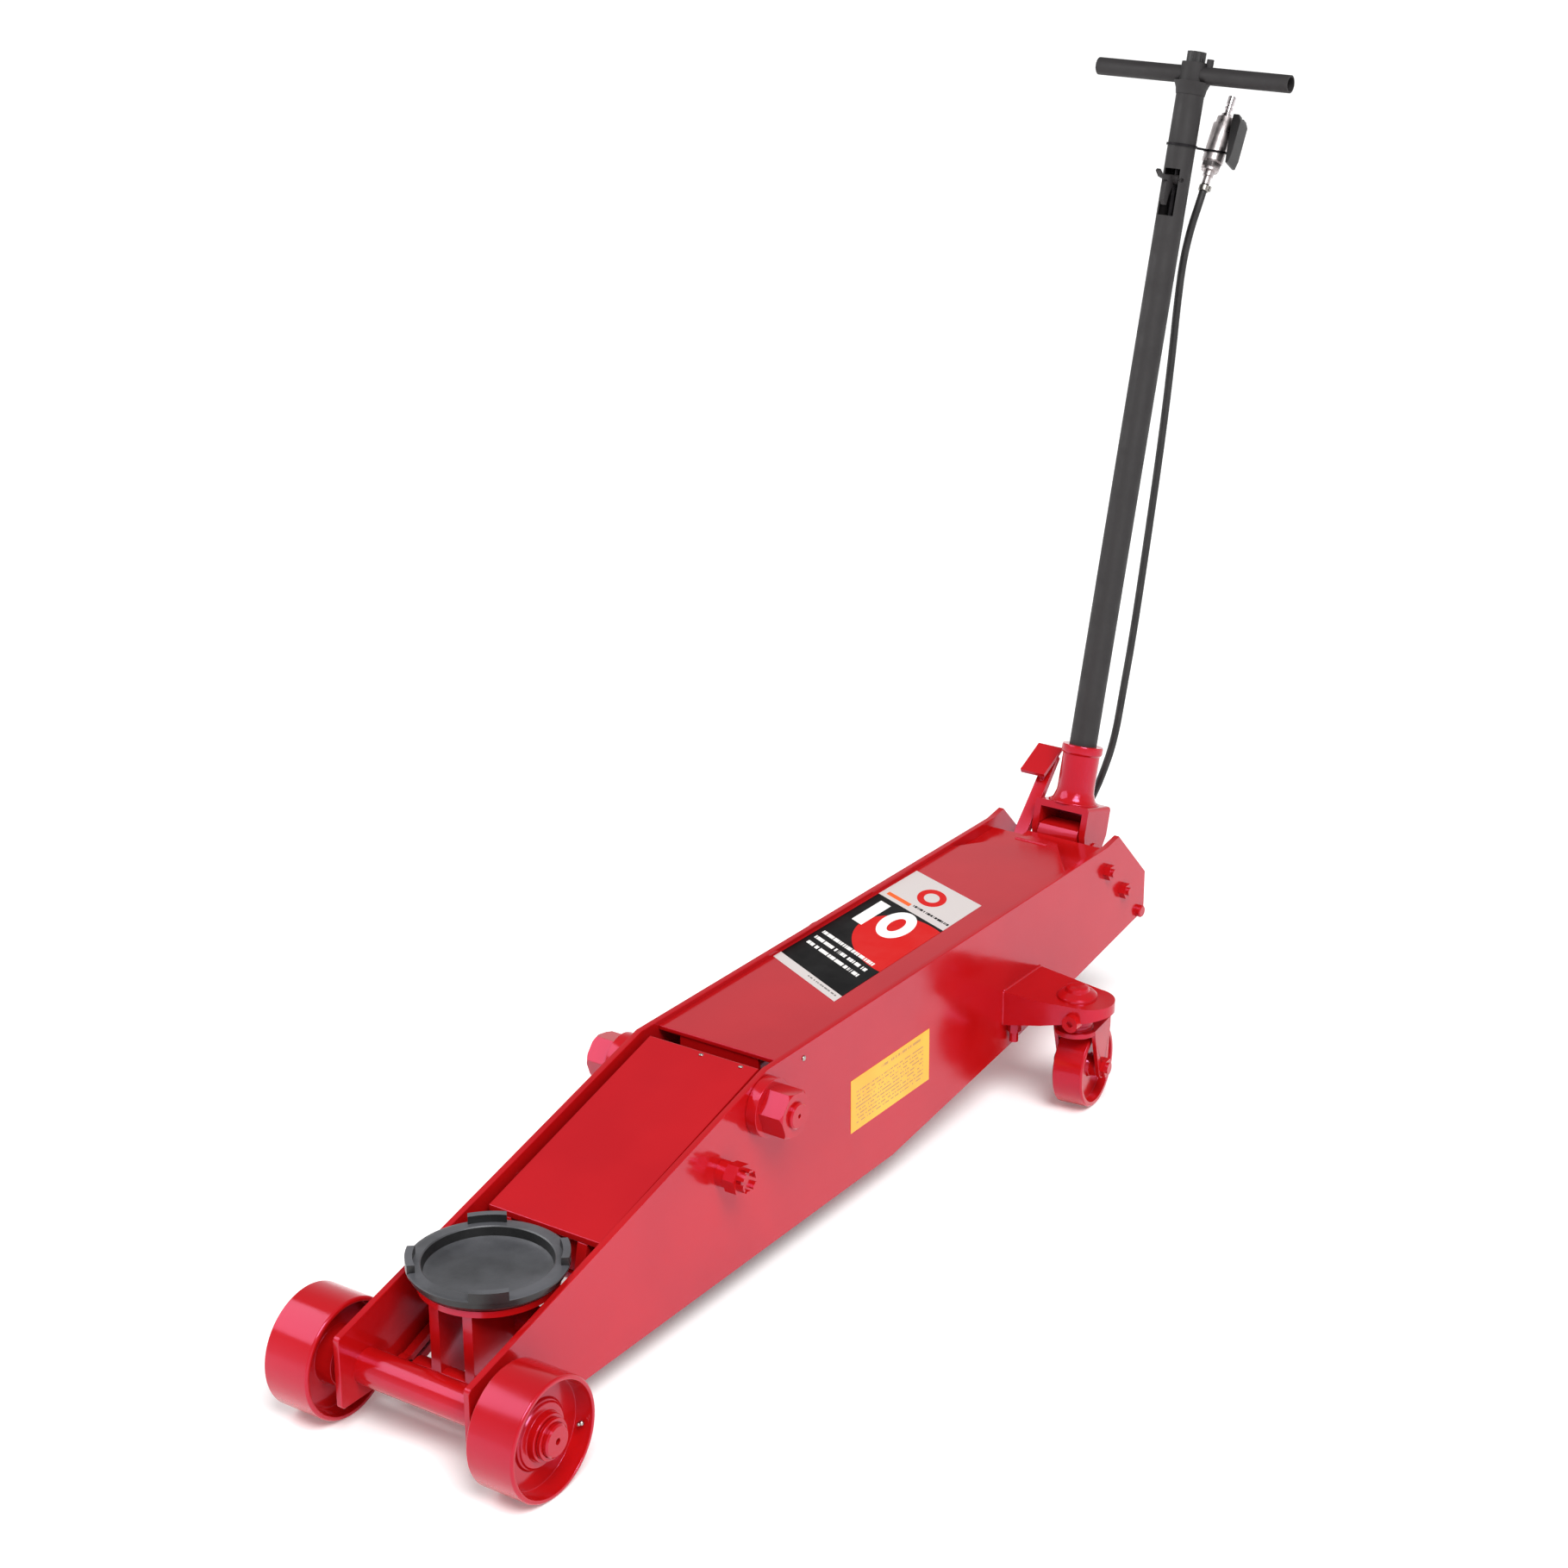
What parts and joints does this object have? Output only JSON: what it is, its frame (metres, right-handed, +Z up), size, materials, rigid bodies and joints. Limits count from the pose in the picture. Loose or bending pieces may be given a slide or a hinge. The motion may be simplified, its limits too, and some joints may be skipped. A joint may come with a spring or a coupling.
{
  "type": "air hydraulic service jack",
  "caption": "Long low-profile wheeled service jack: a parallelogram lift arm raises a round saddle, worked by a tilting T handle with an air valve and hose.",
  "frame": {"origin": "on the ground under the middle of the jack, halfway along its length without the hose and on its centre line", "axes": "+X towards the saddle end, +Y to the left seen from the handle, +Z up"},
  "size_m": [1.8916, 0.492, 1.3543],
  "materials": {
    "red_paint": "gloss",
    "dark_paint": "satin",
    "saddle_iron": "satin",
    "plated_steel": "satin",
    "hard_chrome": "polished",
    "black_plastic": "matte",
    "lever_steel": "satin",
    "hose_rubber": "matte",
    "cover_print": "gloss",
    "side_print": "gloss"
  },
  "bodies": {
    "chassis": {"side_plate_left": "red_paint", "side_plate_right": "red_paint", "top_cover": "red_paint", "rear_deck": "red_paint", "front_axle": "red_paint", "axle_retainers": "red_paint", "pivot_shaft": "red_paint", "pivot_washers": "red_paint", "pivot_nuts": "red_paint", "link_bolts": "red_paint", "link_nuts": "red_paint", "tie_bars": "red_paint", "hydraulic_cylinder": "red_paint", "oil_reservoir": "red_paint", "pump_block": "red_paint", "air_motor": "plated_steel", "hose_fitting": "plated_steel", "rear_bolts": "red_paint", "rear_tie_pin": "red_paint", "caster_brackets": "red_paint", "bracket_bolts": "red_paint", "kingpins": "red_paint", "handle_pin": "red_paint", "pedal_pin": "red_paint", "return_springs": "plated_steel", "cover_label": "cover_print", "side_label": "side_print"},
    "wheel_left": {"front_wheel_left": "red_paint"},
    "wheel_right": {"front_wheel_right": "red_paint"},
    "caster_left": {"caster_fork_left": "red_paint", "caster_axle_left": "red_paint"},
    "caster_right": {"caster_fork_right": "red_paint", "caster_axle_right": "red_paint"},
    "roller_left": {"caster_wheel_left": "red_paint"},
    "roller_right": {"caster_wheel_right": "red_paint"},
    "lift_arm": {"lift_arm": "red_paint", "arm_panel": "red_paint", "arm_front_pin": "plated_steel", "crank_pin": "plated_steel"},
    "carrier": {"saddle_carrier": "red_paint", "carrier_pin": "plated_steel"},
    "saddle": {"saddle": "saddle_iron"},
    "radius_rods": {"radius_rod_left": "red_paint", "radius_rod_right": "red_paint"},
    "ram": {"ram": "hard_chrome", "crosshead": "saddle_iron"},
    "handle": {"handle_yoke": "red_paint", "handle_tube": "dark_paint", "t_grip": "dark_paint", "valve_clip": "lever_steel", "air_valve_body": "hard_chrome", "air_nipple": "plated_steel", "hose_clamp": "plated_steel", "air_hose": "hose_rubber"},
    "release": {"release_knob": "black_plastic", "release_rod": "lever_steel"},
    "lock_lever": {"lock_lever": "lever_steel"},
    "valve_lever": {"air_valve_lever": "black_plastic"},
    "pedal": {"foot_pedal": "red_paint"},
    "plunger": {"pump_plunger": "plated_steel"}
  },
  "joints": [
    {"name": "arm_lift", "type": "hinge", "parent": "chassis", "child": "lift_arm", "pos_m": [0.3478, 0, 0.243], "axis": [0, -1, 0], "range_deg": [0, 57]},
    {"name": "carrier_level", "type": "hinge", "parent": "lift_arm", "child": "carrier", "pos_m": [0.7308, 0, 0.105], "axis": [0, -1, 0], "range_deg": [-57.5, 0.5]},
    {"name": "saddle_swivel", "type": "hinge", "parent": "carrier", "child": "saddle", "pos_m": [0.7568, 0, 0.1745], "axis": [0, 0, 1], "continuous": true},
    {"name": "rod_swing", "type": "hinge", "parent": "chassis", "child": "radius_rods", "pos_m": [0.4348, 0, 0.188], "axis": [0, -1, 0], "range_deg": [-0.5, 57.5]},
    {"name": "ram_slide", "type": "slide", "parent": "chassis", "child": "ram", "axis": [1, 0, 0], "range_m": [-0.001, 0.1205], "deforming": ["return_springs"]},
    {"name": "wheel_left_spin", "type": "hinge", "parent": "chassis", "child": "wheel_left", "pos_m": [0.8708, 0.15, 0.075], "axis": [0, 1, 0], "continuous": true},
    {"name": "wheel_right_spin", "type": "hinge", "parent": "chassis", "child": "wheel_right", "pos_m": [0.8708, -0.15, 0.075], "axis": [0, 1, 0], "continuous": true},
    {"name": "caster_left_swivel", "type": "hinge", "parent": "chassis", "child": "caster_left", "pos_m": [-0.2712, 0.192, 0.13], "axis": [0, 0, 1], "continuous": true},
    {"name": "caster_left_spin", "type": "hinge", "parent": "caster_left", "child": "roller_left", "pos_m": [-0.29899, 0.18859, 0.058], "axis": [-0.1219, 0.9925, 0], "continuous": true},
    {"name": "caster_right_swivel", "type": "hinge", "parent": "chassis", "child": "caster_right", "pos_m": [-0.2712, -0.192, 0.13], "axis": [0, 0, 1], "continuous": true},
    {"name": "caster_right_spin", "type": "hinge", "parent": "caster_right", "child": "roller_right", "pos_m": [-0.29899, -0.18859, 0.058], "axis": [0.1219, 0.9925, 0], "continuous": true},
    {"name": "handle_tilt", "type": "hinge", "parent": "chassis", "child": "handle", "pos_m": [-0.5722, 0, 0.245], "axis": [0, -1, 0], "range_deg": [-15, 55], "deforming": ["air_hose"]},
    {"name": "plunger_stroke", "type": "slide", "parent": "chassis", "child": "plunger", "axis": [0, 0, 1], "range_m": [-0.028, 0.008]},
    {"name": "release_twist", "type": "hinge", "parent": "handle", "child": "release", "pos_m": [-0.87877, 0, 1.34301], "axis": [-0.2689, 0, 0.9632], "range_deg": [0, 90]},
    {"name": "lock_lever_pull", "type": "hinge", "parent": "handle", "child": "lock_lever", "pos_m": [-0.81999, 0, 1.18084], "axis": [0, 1, 0], "range_deg": [0, 18], "stiffness_Nm_per_rad": 0.3, "springref_deg": -22.92},
    {"name": "pedal_press", "type": "hinge", "parent": "chassis", "child": "pedal", "pos_m": [-0.5292, -0.058, 0.238], "axis": [0, -1, 0], "range_deg": [0, 25], "stiffness_Nm_per_rad": 3, "springref_deg": -28.65},
    {"name": "valve_lever_press", "type": "hinge", "parent": "handle", "child": "valve_lever", "pos_m": [-0.92103, 0.0485, 1.25035], "axis": [-0.8387, 0, -0.5446], "range_deg": [0, 8], "stiffness_Nm_per_rad": 0.1, "springref_deg": -17.19}
  ],
  "couplings": [
    {"joint": "carrier_level", "follows": "arm_lift", "ratio": -1},
    {"joint": "rod_swing", "follows": "arm_lift", "ratio": 1},
    {"joint": "ram_slide", "follows": "arm_lift", "m_per_rad": 0.11991},
    {"joint": "plunger_stroke", "follows": "handle_tilt", "m_per_rad": -0.0283}
  ]
}
